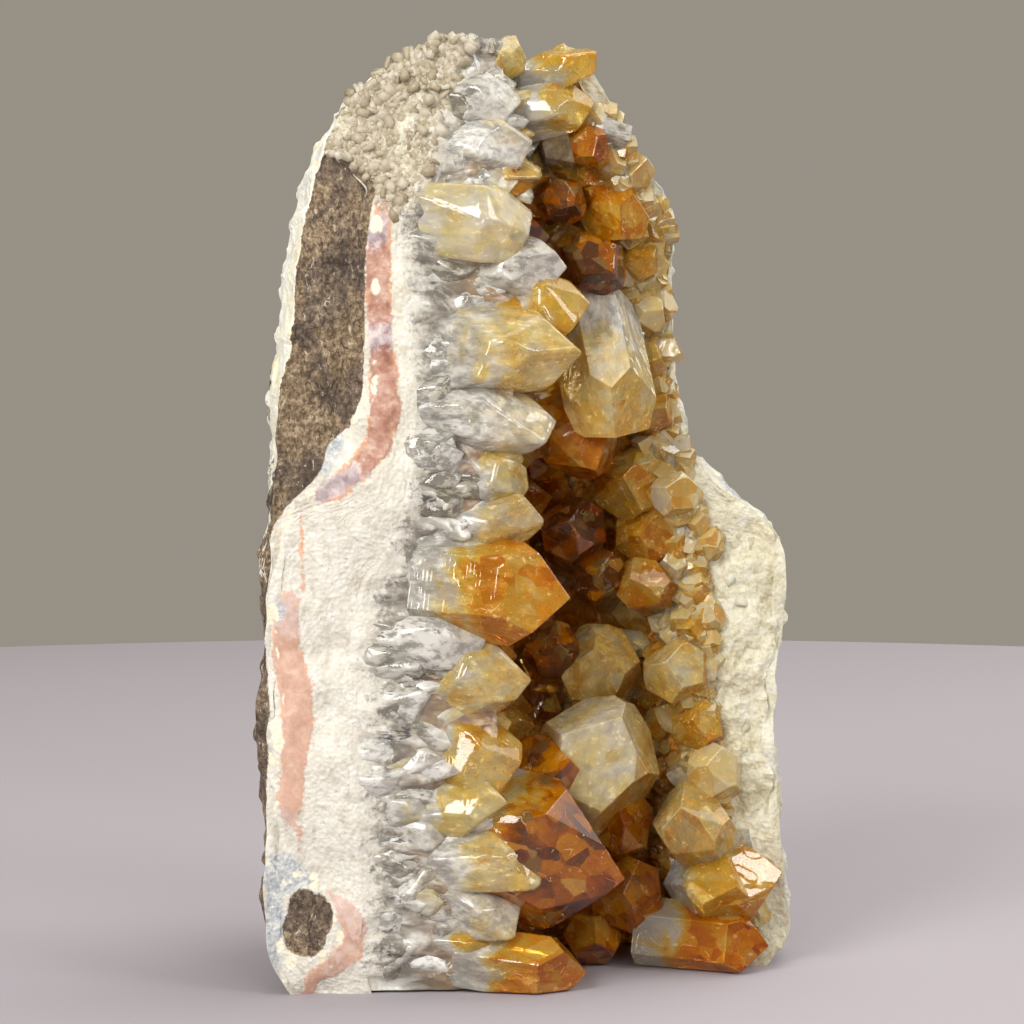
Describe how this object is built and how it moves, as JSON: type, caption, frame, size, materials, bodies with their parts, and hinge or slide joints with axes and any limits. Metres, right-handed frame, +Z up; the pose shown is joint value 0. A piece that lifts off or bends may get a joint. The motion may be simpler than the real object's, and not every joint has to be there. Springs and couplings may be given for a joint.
{
  "type": "citrine cluster",
  "caption": "Upright fragment of a geode's wall on a sawn base: basalt rind, banded agate and white quartz, and amber citrine points lining the open hollow.",
  "frame": {"origin": "on the sawn base, in the middle of the object's box", "axes": "+Z up, -Y out of the broken end that shows the bands, +X from the rind at that end towards the hollow and the right end"},
  "size_m": [0.0815, 0.0693, 0.1428],
  "materials": {
    "basalt": "dull, rough, dark brown weathered basalt",
    "agate_quartz": "satin, creamy white sugary quartz with a pink and lavender agate band",
    "citrine": "glossy, see-through quartz, smoky white at the roots and amber at the tips"
  },
  "bodies": {
    "root": {"basalt_rind": "basalt", "quartz_wall": "agate_quartz", "citrine_crust": "citrine"}
  },
  "joints": []
}
